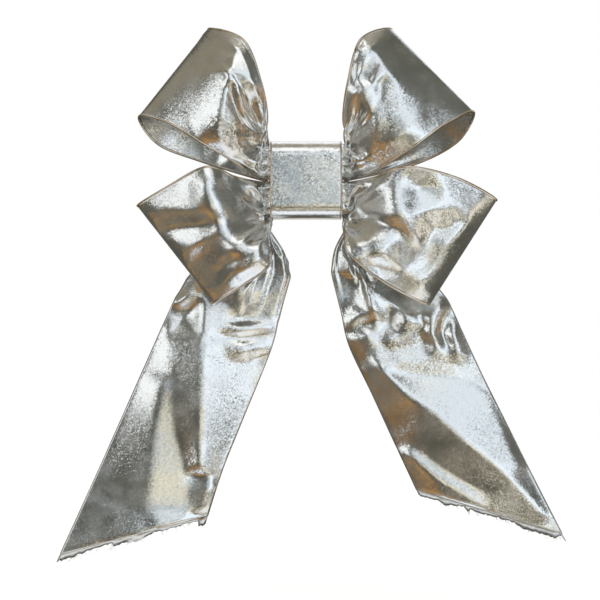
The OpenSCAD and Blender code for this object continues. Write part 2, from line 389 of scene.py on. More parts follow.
def lame(name, tilt=0.19, roughness=0.21, dark=(0.79, 0.805, 0.79), light=(0.89, 0.91, 0.91)):
    """Silver lame: a mirror-like film cut in flat threads, so each grain tilts its own way and glints."""
    material, n, place = new_material(name)
    grain = n.new("ShaderNodeTexVoronoi", {"Vector": place, "Scale": 1150.0}, feature="F1")
    centred = n.new("ShaderNodeVectorMath", {0: grain.outputs["Color"], 1: (0.5, 0.5, 0.5)},
                    operation="SUBTRACT")
    amount = n.between(n.noise(place, 22.0, 3.0), tilt * 0.35, tilt, 0.4, 0.68)
    tilted = n.new("ShaderNodeVectorMath", {0: centred.outputs["Vector"], "Scale": amount}, operation="SCALE")
    weave = n.bump(n.noise(place, 260.0, 4.0), 0.18, 0.0006)
    normal = n.new("ShaderNodeVectorMath", {0: weave, 1: tilted.outputs["Vector"]}, operation="ADD")
    unit = n.new("ShaderNodeVectorMath", {0: normal.outputs["Vector"]}, operation="NORMALIZE")
    wear = n.noise(place, 60.0, 5.0)
    n.surface({"Base Color": n.ramp(wear, (0.3, dark), (0.7, light)), "Metallic": 1.0,
               "Roughness": n.between(wear, roughness - 0.05, roughness + 0.08, 0.3, 0.7),
               "Normal": unit.outputs["Vector"]})
    return material


def steel_wire(name):
    """Drawn steel wire, a little uneven in its shine."""
    material, n, place = new_material(name)
    wear = n.noise(place, 900.0, 4.0)
    n.surface({"Base Color": (0.42, 0.43, 0.45, 1), "Metallic": 1.0, "Roughness": n.between(wear, 0.25, 0.5),
               "Normal": n.bump(wear, 0.2, 0.0002)})
    return material


def plastic(name, dark, light, roughness, grain, coat=0.0):
    """Moulded or hot-melt plastic with a faint flow pattern."""
    material, n, place = new_material(name)
    flow = n.noise(place, grain, 4.0)
    n.surface({"Base Color": n.ramp(flow, (0.3, dark), (0.7, light)),
               "Roughness": n.between(flow, roughness - 0.08, roughness + 0.08),
               "Normal": n.bump(flow, 0.15, 0.0003), "Coat Weight": coat})
    return material


LAME = lame("silver_lame")
HEM = lame("silver_lame_hem", tilt=0.14, roughness=0.2, dark=(0.62, 0.50, 0.36), light=(0.88, 0.84, 0.77))
BAND = lame("silver_lame_band", tilt=0.27, roughness=0.2)
FRAY = lame("silver_lame_frayed", tilt=0.14, roughness=0.32)
WIRE = steel_wire("hem_wire")
NYLON = plastic("white_nylon", (0.80, 0.80, 0.77), (0.88, 0.88, 0.86), 0.42, 180.0)
GLUE = plastic("hot_melt_glue", (0.72, 0.62, 0.40), (0.85, 0.78, 0.58), 0.2, 90.0, coat=0.5)
TIE = plastic("twist_tie_film", (0.50, 0.51, 0.52), (0.66, 0.67, 0.68), 0.3, 400.0)


# ---------------------------------------------------------------- loops

# Each edge follows the one in part.scad: out along the front, round the fold and back. z is the height
# of the low and the high hem at the neck. Creases are lines of (x, z, lift outward) on the front sheet.
LOOPS = {
    "upper_left_loop": dict(
        side=-1, z=(1.6, 30), seed=3,
        low=[(-60, -40, 15), (-88, -50, 31), (-118, -44, 49),
             (-142, -31, 54), (-127, -13, 32), (-92, -9, 18)],
        high=[(-33, -38, 50), (-38, -50, 82), (-53, -46, 118),
              (-83, -26, 129), (-62, -9, 112), (-40, -8, 68)],
        creases=[
            crease((-55, 114, 1), (-58, 105, 4), (-62, 91, 9)),
            crease((-62, 91, 9), (-67, 62, 8), (-72, 35, 6)),
            crease((-62, 91, 9), (-52, 88, 6), (-43, 78, 4)),
            crease((-62, 91, 9), (-56, 65, 5), (-46, 40, 3), (-41, 30, 1)),
            crease((-62, 78, 3), (-63, 62, 1), (-62, 44, 1)),
            crease((-43, 78, 4), (-50, 62, -3), (-48, 47, -4)),
            [(-27, 46, 1), (-37, 54, 4), (-44, 34, -3), (-57, 24, 1),
             (-42, 19, -3), (-96, 48, 1), (-96, 90, 1)]]),
    "upper_right_loop": dict(
        side=1, z=(1.6, 30), seed=5,
        low=[(66, -41, 12), (94, -50, 30), (119, -44, 48),
             (143, -31, 58), (130, -13, 34), (94, -9, 15)],
        high=[(32, -38, 50), (36, -50, 84), (47, -46, 119),
              (73, -26, 129), (60, -9, 112), (36, -8, 68)],
        creases=[
            crease((48, 117, 1), (59, 104, 4), (66, 92, 5), (80, 75, 4), (96, 66, 2), (118, 60, 1)),
            crease((44, 108, 2), (43, 92, -2), (43, 80, -1)),
            crease((41, 72, 1), (51, 58, 5), (56, 40, 5), (56, 25, 3)),
            crease((41, 72, 1), (46, 52, -3), (47, 36, -4)),
            crease((51, 78, 4), (62, 80, 1)),
            [(63, 62, 2), (70, 50, 3), (85, 40, 3), (68, 30, 4), (78, 60, 3)]]),
    "lower_left_loop": dict(
        side=-1, z=(-30, -1.6), seed=8,
        low=[(-34, -43, -48), (-31, -55, -72), (-53, -48, -89),
             (-79, -34, -104), (-60, -20, -89), (-42, -17, -62)],
        high=[(-60, -45, 2), (-84, -56, 10), (-116, -48, -6),
              (-143, -34, -22), (-116, -20, -11), (-84, -17, 2)],
        creases=[
            crease((-86, 9, 1), (-83, -5, 6), (-71, -31, 7), (-49, -56, 6), (-33, -72, 1)),
            crease((-76, -22, 7), (-90, -26, 6), (-106, -26, 4), (-126, -25, 2)),
            crease((-74, -36, 5), (-90, -39, 1), (-106, -40, -1), (-118, -42, -1)),
            crease((-70, -40, 6), (-84, -50, 5), (-99, -58, 4), (-110, -53, 2)),
            crease((-86, -62, 1), (-76, -80, 1)),
            crease((-68, -86, 2), (-60, -74, 6), (-52, -62, 6)),
            [(-66, -8, -4), (-55, -22, -4), (-46, -17, 4), (-52, -40, -3),
             (-43, -45, 4), (-36, -30, 1), (-62, -26, 1)]]),
    "lower_right_loop": dict(
        side=1, z=(-30, -1.6), seed=13,
        low=[(34, -42, -46), (37, -55, -64), (68, -48, -88),
             (105, -34, -106), (76, -20, -88), (46, -17, -62)],
        high=[(60, -45, 2), (86, -56, 10), (128, -48, 1),
              (162, -34, -17), (128, -20, -8), (86, -17, 2)],
        creases=[
            crease((56, -12, 3), (75, -28, 7), (91, -49, 5), (82, -47, 1), (72, -34, -1)),
            crease((75, -28, 6), (89, -29, 4), (104, -25, 4), (126, -21, 4)),
            crease((118, 0, 1), (116, -12, 3), (112, -23, 3)),
            crease((64, -51, 5), (60, -62, 4), (44, -66, 0)),
            crease((50, -35, -4), (52, -48, -3), (64, -51, 5)),
            crease((147, -17, 2), (136, -33, 4), (119, -51, 6), (112, -70, 5), (97, -88, 4)),
            crease((128, -38, 2), (112, -52, 3), (104, -70, 2)),
            [(95, -8, -3), (60, -4, -2), (36, -56, 2), (58, -72, -2),
             (98, -60, 1), (108, -42, 0), (82, -78, 1), (40, -24, 2)]]),
}
FOLD_SPAN = 6             # the fold at the loop's end is after this many spans
HINGE_X = 0.0395          # a loop's hinge, beside the band
HINGE_Y = -0.021          # and between the loop's front and back sheets
SWING = math.radians(30)  # the furthest that a loop swings forward

# A hem at the neck, in mm: how far out and how far forward it lies inside the band, at the band's
# mouth, and where the loop begins.
NECK_X = (25, 33, 40)
NECK_FRONT_Y = (-29, -26.7, -24.4)
NECK_BACK_Y = (-21, -19.3, -17.6)

# Cloth that lies no further out from its hinge than this, and no higher, is in the band's mouth. It
# stays behind the band's front.
MOUTH_OUT = BAND_X + 0.002 - HINGE_X
MOUTH_Z = BAND_Z + 0.001
CORNER_Y = -0.0320        # centre of the front's rounded corners
CORNER_Z = 0.0210
CORNER_R = 0.0097         # and how far from it the cloth may lie, inside the corner's own radius

# What stands out from a loop's smooth sheets. Distances are measured out from the band's edge.
LOOP_FOLDS = 4                  # pleats across a gathered loop
FRONT_PLEATS = dict(depth=0.006, reach=0.040)
BACK_PLEATS = dict(depth=0.005, reach=0.060)
BACK_PLEATS_RISE = (0.0, 0.014)  # distances between which the back's pleats grow to full depth
PLEAT_ROUNDING = 3
TURN_OUT = (0.0, 0.035)         # distances between which folds turn from straight ahead to outward
PUFF = 0.011                    # how far a loop swells forward at the band's mouth
PUFF_RISES = (-0.010, 0.001)
PUFF_FALLS = (0.012, 0.045)
PUFF_Y = (-0.048, -0.030)       # none of it this far forward, and all of it this far back
NECK_SHARE = 0.30               # share of the front sheet, from the band on, that is crumpled
NECK_CRUMPLES = dict(count=4, depth=2.5)
BACK_CRUMPLES = dict(count=12, depth=3.0)
LOOP_SLACK = 0.012              # share by which threads are too long at the band's edge,
LOOP_SLACK_ENDS = (0.01, 0.05)  # and the distances between which that ends
LOOP_HELD_ROWS = 4              # rows fixed inside the band at each end
SHEET_GAP = 0.0008              # half the gap that the front and back sheets keep
SHEETS_APART = 0.9              # they keep it over this share of the way to the fold


def neck_points(side, z, places_y):
    """A hem at the neck, from inside the band to where the loop's solid begins."""
    return [(side * x, y, z) for x, y in zip(NECK_X, places_y)]


def loop_edges(loop):
    """Both hems of a loop with their matching rows, and the row of the fold at its end."""
    low, high = (mm(neck_points(loop["side"], z, NECK_FRONT_Y) + loop[edge]
                    + neck_points(loop["side"], z, NECK_BACK_Y)[::-1])
                 for edge, z in zip(("low", "high"), loop["z"]))
    counts = span_counts(low, high)
    return curve(low, counts), curve(high, counts), sum(counts[:FOLD_SPAN])


def swung(out, ahead, angle):
    """Where points so far out and ahead of a loop's hinge go as the loop swings forward by an angle."""
    return (out * math.cos(angle) + ahead * math.sin(angle),
            ahead * math.cos(angle) - out * math.sin(angle))


def miss_band(points, side):
    """Moves a neck's cloth back where it would cut the band's front, at rest or with its loop forward."""
    x, y, z = (points[:, :, k] for k in range(3))
    height = np.abs(z)
    front = CORNER_Y - np.sqrt(CORNER_R ** 2 - np.clip(height - CORNER_Z, 0, CORNER_R) ** 2) - HINGE_Y
    for angle in (0.0, SWING):
        out, ahead = swung(side * x - HINGE_X, y - HINGE_Y, angle)
        hits = (height < MOUTH_Z) & (out < MOUTH_OUT) & (ahead < front)
        ahead[hits] = front[hits]
        out, ahead = swung(out, ahead, -angle)
        x[hits] = side * (HINGE_X + out[hits])
        y[hits] = HINGE_Y + ahead[hits]


def loop_outward(grid, distance, fold):
    """Directions that a loop's folds stand out in: forward and back at the neck, then its normals."""
    out = sheet_normals(grid)
    if ((grid - grid.mean(axis=(0, 1))) * out).sum() < 0:
        out = -out
    straight = np.zeros_like(grid)
    straight[:fold, :, 1] = -1
    straight[fold:, :, 1] = 1
    turned = smoothstep(distance, *TURN_OUT)[:, :, None]
    out = out * turned + straight * (1 - turned)
    return out / np.linalg.norm(out, axis=2, keepdims=True)


def puff(depth_y, distance, across):
    """How far the front sheet swells at the band's mouth, where only its hems are held back."""
    at_mouth = smoothstep(distance, *PUFF_RISES) * (1 - smoothstep(distance, *PUFF_FALLS))
    set_back = smoothstep(depth_y, *PUFF_Y)
    return PUFF * (at_mouth * set_back) * np.sqrt(np.sin(math.pi * across))


def loop_lift(loop, grid, distance, fold, across, rng):
    """How far each point of a loop stands out: creases, crumples, the swelling and the pleats."""
    front_grid, back_grid = grid[:fold], grid[fold:]
    front_out, back_out = distance[:fold], distance[fold:]
    neck = grid[:round(NECK_SHARE * fold)]
    front_anchors = rim(grid[:fold + 1]) + sum(loop["creases"], []) + crumples(neck, rng=rng, **NECK_CRUMPLES)
    back_anchors = rim(back_grid) + crumples(back_grid, rng=rng, **BACK_CRUMPLES)
    front = facets(front_grid[:, :, [0, 2]], front_anchors)
    back = facets(back_grid[:, :, [0, 2]], back_anchors)
    front += puff(front_grid[:, :, 1], front_out, across)
    front += soften(pleats(front_out, across, LOOP_FOLDS, rng=rng, **FRONT_PLEATS), PLEAT_ROUNDING)
    back += (soften(pleats(back_out, across, LOOP_FOLDS, rng=rng, **BACK_PLEATS), PLEAT_ROUNDING)
             * smoothstep(back_out, *BACK_PLEATS_RISE))
    return np.vstack([front, back])


def cloth_loop(loop):
    """Grid of a loop and its hems: rows along the ribbon, columns from the low hem to the high one."""
    rng = np.random.default_rng(loop["seed"])
    low, high, fold = loop_edges(loop)
    across = np.linspace(0, 1, round(RIBBON_W / CELL) + 1)
    grid = ruled(low, high, across)
    distance = loop["side"] * grid[:, :, 0] - BAND_X
    out = loop_outward(grid, distance, fold)
    grid = grid + out * loop_lift(loop, grid, distance, fold, across, rng)[:, :, None]

    rows = np.arange(len(grid))
    to_fold = np.minimum(rows / fold, (len(grid) - 1 - rows) / (len(grid) - 1 - fold))
    fold_y = (low[fold, 1] + high[fold, 1]) / 2
    middle = HINGE_Y + (fold_y - HINGE_Y) * to_fold
    ahead = (rows < fold) & (to_fold < SHEETS_APART)
    behind = (rows >= fold) & (to_fold < SHEETS_APART)

    def keep_clear(points):
        """Front and back sheets stay apart, and both stay behind the band's front."""
        y = points[:, :, 1]
        y[ahead] = np.minimum(y[ahead], (middle - SHEET_GAP)[ahead][:, None])
        y[behind] = np.maximum(y[behind], (middle + SHEET_GAP)[behind][:, None])
        miss_band(points, loop["side"])

    free = hold_edges(grid, LOOP_HELD_ROWS, LOOP_HELD_ROWS)
    slack = LOOP_SLACK * (1 - smoothstep(distance, *LOOP_SLACK_ENDS))
    return relax(grid, free, slack, keep_clear), low, high


def loop_pieces(name, loop):
    """Cloth and hems of one loop."""
    grid, low, high = cloth_loop(loop)
    piece = add(name + "_cloth", grid_mesh(name + "_cloth", grid), LAME, name)
    thicken(piece, RIBBON_T)
    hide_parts(name)
    hems = add(name + "_hems", tube_mesh(name + "_hems", [low, high], HEM_R), HEM, name)


for name, loop in LOOPS.items():
    loop_pieces(name, loop)


# ---------------------------------------------------------------- tails

# Both edges run from the knot down to the cut, as in part.scad, with points in matching pairs (x, z).
# Creases are lines of (x, z, lift forward), and cut is the lift along the cut, from its inner corner.
TAILS = {
    "left_tail": dict(
        side=-1, seed=21, cut=(0, 5, 7, 6, 4, 2, 0),
        inner=[(-25, -17), (-36, -21), (-35, -35), (-19, -60), (-14, -77), (-13, -81),
               (-14, -86), (-22, -114), (-30, -145), (-55, -207), (-71, -247), (-84, -287)],
        outer=[(-25, -6), (-43, -8), (-55, -23), (-80, -54), (-96, -76), (-110, -97),
               (-113, -102), (-124, -126), (-136, -153), (-160, -207), (-181, -254), (-211, -320)],
        creases=[
            crease((-87, -106, 6), (-88, -130, 9), (-88, -153, 11),
                   (-89, -192, 11), (-90, -222, 9), (-91, -245, 9)),
            crease((-98, -251, 1), (-91, -253, 3), (-81, -251, 5), (-79, -264, 6), (-83, -281, 4)),
            crease((-119, -126, 3), (-117, -153, 6), (-114, -180, 7), (-111, -216, 5),
                   (-102, -243, 4), (-100, -270, 3), (-100, -288, 3)),
            crease((-125, -176, 7), (-130, -216, 6), (-133, -250, 6), (-137, -290, 5)),
            crease((-74, -120, 5), (-55, -119, 1), (-36, -120, 1)),
            crease((-74, -124, 6), (-55, -128, 8), (-36, -124, 4)),
            crease((-72, -133, 5), (-55, -135, 0), (-34, -133, 1)),
            crease((-72, -138, 6), (-52, -142, 8), (-35, -143, 3)),
            crease((-68, -152, 5), (-55, -158, 3), (-42, -150, 0)),
            crease((-60, -93, 7), (-55, -104, 5), (-51, -114, 2)),
            crease((-103, -99, 6), (-98, -108, 1), (-104, -118, 0)),
            crease((-92, -96, 6), (-97, -112, 1)),
            crease((-86, -101, 6), (-95, -118, 3)),
            [(-109, -104, 5), (-108, -112, 0), (-40, -95, 3),
             (-30, -104, 1), (-65, -110, 4), (-72, -90, 1)]]),
    "right_tail": dict(
        side=1, seed=34, cut=(0, 3, 4, 3, 2, 1, 0),
        inner=[(25, -17), (36, -21), (36, -36), (25, -58), (22, -75), (22, -79),
               (23, -84), (30, -112), (37, -141), (56, -181), (74, -220), (95, -265)],
        outer=[(25, -6), (43, -8), (55, -23), (84, -58), (104, -80), (118, -97),
               (124, -106), (134, -128), (152, -167), (168, -199), (192, -247), (220, -302)],
        creases=[
            crease((53, -80, 3), (52, -95, 6), (51, -109, 3), (35, -106, 1)),
            crease((60, -81, 7), (56, -98, 8), (50, -112, 8), (34, -127, 3)),
            crease((36, -133, 1), (50, -122, 1), (60, -113, 8), (70, -122, 2)),
            crease((37, -136, 3), (52, -131, 7), (64, -134, 4), (60, -150, 6), (48, -152, 2)),
            crease((82, -106, 4), (86, -117, 9), (95, -120, 8), (101, -110, 3)),
            crease((72, -136, 7), (88, -131, 6), (102, -124, 3)),
            crease((76, -147, 4), (92, -143, 3), (103, -138, 2)),
            crease((114, -108, 8), (107, -126, 11), (112, -142, 7), (120, -147, 4)),
            crease((122, -112, 1), (117, -130, 0), (122, -140, 1)),
            crease((129, -121, 5), (126, -134, 8), (131, -148, 6)),
            crease((62, -158, 8), (85, -182, 11), (110, -198, 12), (134, -220, 12),
                   (160, -241, 10), (184, -264, 6), (204, -286, 3)),
            crease((75, -164, 6), (100, -167, 4), (126, -170, 3), (149, -168, 0)),
            crease((80, -152, 7), (104, -154, 5), (128, -156, 3)),
            crease((161, -188, 2), (173, -220, 4), (182, -240, 5)),
            crease((91, -227, 5), (117, -247, 5), (152, -267, 4)),
            crease((86, -234, 6), (112, -255, 6), (142, -272, 5)),
            [(72, -92, 2), (90, -95, 2), (44, -90, 0), (70, -104, 5)]]),
}
TAIL_FRONT_Y = -0.0106          # the two layers of a tail, behind the lower loops
TAIL_BACK_Y = -0.0086
TAIL_REAR_Y = -0.0005           # no cloth of a tail goes further back than this
TAIL_HEM_Y = -0.0088
TAIL_HEM_IN = 0.0010            # how far inside the outline a tail's hem runs, round its wire
TAIL_GATHER_Z = -0.012          # height of the point beside the band where a tail's pleats start
TAIL_FOLDS = 7
TAIL_PLEAT_REACH = 0.09
FRONT_PLEAT_DEPTH = 0.006
BACK_PLEAT_DEPTH = 0.002
PLEATS_FROM_HEM = 0.04          # pleats reach their full depth this share of the width from a hem
TAIL_ROUNDING = 14              # passes that round a tail's creases
TAIL_SLACK = 0.01               # share by which threads are too long by the band,
TAIL_SLACK_ENDS = (0.03, 0.11)  # and the distances between which that ends
TAIL_HELD_ROWS = 3              # rows fixed inside the band
LOOPS_BACK_Y = -0.0130          # a tail's cloth stays behind this plane, which clears the lower loops
LOOPS_END = 0.045               # beyond this distance it may stand further forward,
LOOPS_END_SLOPE = 0.12          # by this share of the distance that is left
FRAY_RUN = 0.009                # longest tuft of a cut end
FRAY_CURL = 0.6                 # how far a tuft leans back, as a share of its length
TUFT_COLUMNS = (2, 8)           # width of a tuft, in cells
TUFT_LENGTHS = (0.4, 1.0)       # lengths of tufts, as shares of the longest
TUFT_FRINGE = 0.12              # how ragged a tuft's own end is, as such a share
THREADS = 26                    # loose threads at a cut end
THREAD_R = 0.00016
THREAD_LENGTHS = (0.0015, 0.004)
THREAD_LEAN = 0.6               # how far a thread leans either way, as a share of its length
THREAD_SPREAD = 0.3             # how far all of them lean outward, as such a share
THREAD_BEND = 0.0012            # how far a thread's end bends on, for each share that it leans


def pressed_through(creases, shift=5.0, share=0.6):
    """The long folds of the front layer as they show behind: moved aside and shallower."""
    long_folds = [line for line in creases if len(line) > 6]
    return [(x + shift, z, lift * share) for line in long_folds for x, z, lift in line]


def tail_edges(tail):
    """Both hems of a tail in the plane of its wires, with matching rows."""
    inner, outer = (mm([(x, 0, z) for x, z in tail[edge]]) for edge in ("inner", "outer"))
    counts = span_counts(inner, outer)
    return curve(inner, counts), curve(outer, counts)


def ragged(cols, rng):
    """How far each column of a cut edge runs on: long and short tufts side by side."""
    tufts = np.repeat(rng.uniform(*TUFT_LENGTHS, cols), rng.integers(*TUFT_COLUMNS, cols))[:cols]
    return tufts + rng.uniform(-TUFT_FRINGE, TUFT_FRINGE, cols)


def tail_layer(tail, y, forward, anchors, depth, rng):
    """One layer of a tail: forward is 1 where its folds stand out to the front, -1 to the back."""
    inner, outer = tail_edges(tail)
    across = np.linspace(0, 1, round(RIBBON_W / CELL) + 1)
    grid = ruled(inner, outer, across)
    gather = np.array([tail["side"] * BAND_X, 0, TAIL_GATHER_Z])
    distance = np.linalg.norm(grid - gather, axis=2)
    off_hem = smoothstep(np.minimum(across, 1 - across), 0, PLEATS_FROM_HEM)[None, :]
    cut = along_row(grid[-1], tail["cut"])
    lift = facets(grid[:, :, [0, 2]], rim(grid, ends=(0,)) + cut + anchors, TAIL_ROUNDING)
    lift += pleats(distance, across, TAIL_FOLDS, depth, TAIL_PLEAT_REACH, rng) * off_hem
    grid[:, :, 1] = y - forward * np.maximum(lift, 0.0)

    behind_loops = LOOPS_BACK_Y - LOOPS_END_SLOPE * np.maximum(distance - LOOPS_END, 0)
    foremost, rearmost = (behind_loops, y) if forward > 0 else (y, TAIL_REAR_Y)

    def keep_clear(points):
        """The layer stays on its own side of the hems, behind the lower loops and ahead of the rear."""
        points[:, :, 1] = np.clip(points[:, :, 1], foremost, rearmost)

    slack = TAIL_SLACK * (1 - smoothstep(distance, *TAIL_SLACK_ENDS))
    return relax(grid, hold_edges(grid, TAIL_HELD_ROWS), slack, keep_clear)


def frayed_end(layer, rng):
    """Ragged end of a layer, leaning back, from just inside its cut."""
    down = layer[-1] - layer[-2]
    down /= np.linalg.norm(down, axis=1, keepdims=True)
    down[:, 1] = 0
    run = FRAY_RUN * ragged(len(down), rng)[:, None]
    rows = [layer[-2]]
    for share in (0.2, 0.4, 0.6, 0.8, 1.0):
        back = np.array([0, FRAY_CURL * share, 0])
        row = layer[-1] + run * share * (down + back)
        row[:, 1] = np.minimum(row[:, 1], TAIL_REAR_Y)
        rows.append(row)
    return np.array(rows)


def frayed_threads(cut, side, rng):
    """Paths of the loose threads that hang from a ragged cut, each a short bent line."""
    paths = []
    for start in cut[rng.integers(2, len(cut) - 2, THREADS)]:
        lean = rng.uniform(-THREAD_LEAN, THREAD_LEAN)
        length = rng.uniform(*THREAD_LENGTHS)
        along = np.linspace(-0.4, 1, 6)[:, None]
        direction = np.array([lean + THREAD_SPREAD * side, rng.uniform(-0.1, 0.1), -1.0])
        paths.append(start + along * length * direction + np.array([THREAD_BEND * lean, 0, 0]) * along ** 2)
    return paths


def tail_pieces(name, tail):
    """Front and back layer, hems, frayed end and loose threads of one tail."""
    rng = np.random.default_rng(tail["seed"])
    front = tail_layer(tail, TAIL_FRONT_Y, 1, sum(tail["creases"], []), FRONT_PLEAT_DEPTH, rng)
    back = tail_layer(tail, TAIL_BACK_Y, -1, pressed_through(tail["creases"]), BACK_PLEAT_DEPTH, rng)

    end = frayed_end(back, rng)
    fray = add(name + "_frayed_end", grid_mesh(name + "_frayed_end", end), FRAY, name)
    thicken(fray, RIBBON_T * THIN_SHARE)

    inner, outer = tail_edges(tail)
    inward = (outer - inner) / np.linalg.norm(outer - inner, axis=1, keepdims=True) * TAIL_HEM_IN
    hem_paths = [edge + shift + np.array([0, TAIL_HEM_Y, 0])
                 for edge, shift in ((inner, inward), (outer, -inward))]
    hems = add(name + "_hems", tube_mesh(name + "_hems", hem_paths, HEM_R), HEM, name)

    for layer, grid in (("front", front), ("back", back)):
        piece = add(f"{name}_{layer}", grid_mesh(f"{name}_{layer}", grid), LAME, name)
        thicken(piece, RIBBON_T)
        if layer == "front":
            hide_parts(name)

    threads = frayed_threads(end[-1], tail["side"], rng)
    add(name + "_threads", tube_mesh(name + "_threads", threads, THREAD_R, sides=5), FRAY, name)


for name, tail in TAILS.items():
    tail_pieces(name, tail)


# ---------------------------------------------------------------- centre band and waists

BAND_T = 0.0012                # the band's doubled fabric, as in part.scad
BAND_CLOTH_SHARE = 0.9         # share of it that the cloth here fills
BAND_FRONT = -0.044
BAND_INNER_BACK = -0.0016      # rear face of the band's inner end, under the lap
BAND_START_Z = -0.020          # height of the inner end
BAND_END_Z = 0.014             # height of the lapped end
LAP_FLAT_Z = -0.022            # the lap lies flat from here up
BACK_CORNER_R = 0.0054
FRONT_CORNER_R = 0.0114
BAND_HEM_R = 0.0009
BAND_EDGE_IN = 0.0006          # how far inside the hem's outer face the cloth ends
BAND_CROWN = 0.0007            # how far the middle of the front stands out
CROWN_AHEAD = (0.030, 0.044)   # it grows between these distances ahead of the back
RIPPLE = 0.0004                # height of the cloth's soft waves
RIPPLE_AHEAD = (0.003, 0.010)  # which grow between these
WAIST_X = 0.0175               # the waists end here, so that the necks can turn beside them
WAIST_JITTER = 0.0006          # how unevenly a waist's pleats are pressed
WAIST_COLUMNS = 24
PINCH = 0.82                   # size of a waist under the tie, as a share of its size at its ends
PINCH_X = (0.003, 0.014)       # distances from the middle between which it widens

# The ribbons' pleated waists: their ends in y and z, their pleats and their random seed.
WAISTS = {
    "upper_ribbon_waist": dict(y=(-0.037, -0.014), z=(0.002, 0.027), folds=9, seed=4),
    "lower_ribbon_waist": dict(y=(-0.037, -0.014), z=(-0.027, -0.002), folds=9, seed=6),
    "tail_ribbon_waist": dict(y=(-0.0125, -0.0070), z=(-0.020, 0.027), folds=17, seed=9),
}


def arc(y, z, radius, start, end, steps=10):
    """Points (y, z) on part of a circle, with angles in degrees from +Y towards +Z."""
    turn = np.radians(np.linspace(start, end, steps))
    return [(y + radius * math.cos(t), z + radius * math.sin(t)) for t in turn]


def band_path():
    """The band's middle line in (y, z): up behind, over the front, and lapped over its own start."""
    half = BAND_T / 2
    inner_y, lap_y = BAND_INNER_BACK - half, -half
    front, top = BAND_FRONT + half, BAND_Z - half
    return ([(inner_y, BAND_START_Z), (inner_y, 0.0)]
            + arc(inner_y - BACK_CORNER_R, top - BACK_CORNER_R, BACK_CORNER_R, 0, 90)
            + arc(front + FRONT_CORNER_R, top - FRONT_CORNER_R, FRONT_CORNER_R, 90, 180)
            + arc(front + FRONT_CORNER_R, FRONT_CORNER_R - top, FRONT_CORNER_R, 180, 270)
            + arc(lap_y - BACK_CORNER_R, BACK_CORNER_R - top, BACK_CORNER_R, 270, 360)
            + [(lap_y, LAP_FLAT_Z), (lap_y, BAND_END_Z)])


def even(points, spacing):
    """Points at equal spacing along a line."""
    points = np.asarray(points, float)
    along = np.concatenate([[0], np.cumsum(np.linalg.norm(np.diff(points, axis=0), axis=1))])
    at = np.linspace(0, along[-1], round(along[-1] / spacing) + 1)
    return np.stack([np.interp(at, along, points[:, k]) for k in range(points.shape[1])], axis=1)


def wrinkles(u, v, rng, waves=9, low=20.0, high=90.0):
    """Sum of waves that run their own way over a sheet, between about -1 and 1."""
    total = 0
    for _ in range(waves):
        turn = rng.uniform(0, math.pi)
        pace = rng.uniform(low, high)
        total = total + np.sin(2 * math.pi * rng.random() + pace * (u * math.cos(turn) + v * math.sin(turn)))
    return total / waves


def centre_band():
    """Cloth and hems of the band."""
    rng = np.random.default_rng(2)
    path = even(band_path(), CELL)
    half_width = BAND_X - BAND_EDGE_IN
    x = np.linspace(-half_width, half_width, round(2 * BAND_X / CELL) + 1)
    grid = np.empty((len(path), len(x), 3))
    grid[:, :, 0] = x
    grid[:, :, 1:] = path[:, None]
    out = sheet_normals(grid)
    if out[len(path) // 2, :, 1].mean() > 0:
        out = -out
    ahead = -grid[:, :, 1]
    along = np.arange(len(path))[:, None] * CELL
    ripple = RIPPLE * wrinkles(along, x[None, :], rng)
    crown = BAND_CROWN * (1 - (x / BAND_X) ** 2)[None, :] * smoothstep(ahead, *CROWN_AHEAD)
    grid = grid + out * ((ripple + crown) * smoothstep(ahead, *RIPPLE_AHEAD))[:, :, None]

    piece = add("band_cloth", grid_mesh("band_cloth", grid), BAND, "knot")
    thicken(piece, BAND_T * BAND_CLOTH_SHARE)
    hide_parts("centre_band")
    hem_x = BAND_X - BAND_HEM_R
    paths = [np.column_stack([np.full(len(path), side * hem_x), path]) for side in (-1, 1)]
    add("band_hems", tube_mesh("band_hems", paths, BAND_HEM_R), HEM, "knot")


def waist(name, y, z, folds, seed):
    """Ribbon pressed into pleats where the tie cinches it."""
    rng = np.random.default_rng(seed)
    heights = np.linspace(*z, folds + 1)
    corners = [(y[(k + 1) % 2] + rng.uniform(-WAIST_JITTER, WAIST_JITTER), height)
               for k, height in enumerate(heights)]
    path = even(corners, CELL)
    x = np.linspace(-WAIST_X, WAIST_X, WAIST_COLUMNS)
    pinch = PINCH + (1 - PINCH) * smoothstep(np.abs(x), *PINCH_X)
    middle = np.array([sum(y) / 2, sum(z) / 2])
    grid = np.empty((len(path), len(x), 3))
    grid[:, :, 0] = x
    grid[:, :, 1:] = middle + (path - middle)[:, None] * pinch[None, :, None]

    piece = add(name + "_cloth", grid_mesh(name + "_cloth", grid), LAME, "knot")
    thicken(piece, RIBBON_T * THIN_SHARE)
    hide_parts(name)


centre_band()
for name, ribbon in WAISTS.items():
    waist(name, **ribbon)


# ---------------------------------------------------------------- fastenings

def dress_cad_nodes():
    """The wires, tie, glue and twist tie keep their CAD shapes and take their materials here."""
    finishes = {"cinch_tie": NYLON, "band_glue": GLUE, "twist_tie_core": TIE,
                "left_twist_tie_leg": TIE, "right_twist_tie_leg": TIE}
    for name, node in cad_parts.items():
        material = WIRE if name.endswith("hem_wire") else finishes.get(name)
        if material:
            node.data.materials.clear()
            node.data.materials.append(material)


dress_cad_nodes()


# ---------------------------------------------------------------- light and camera

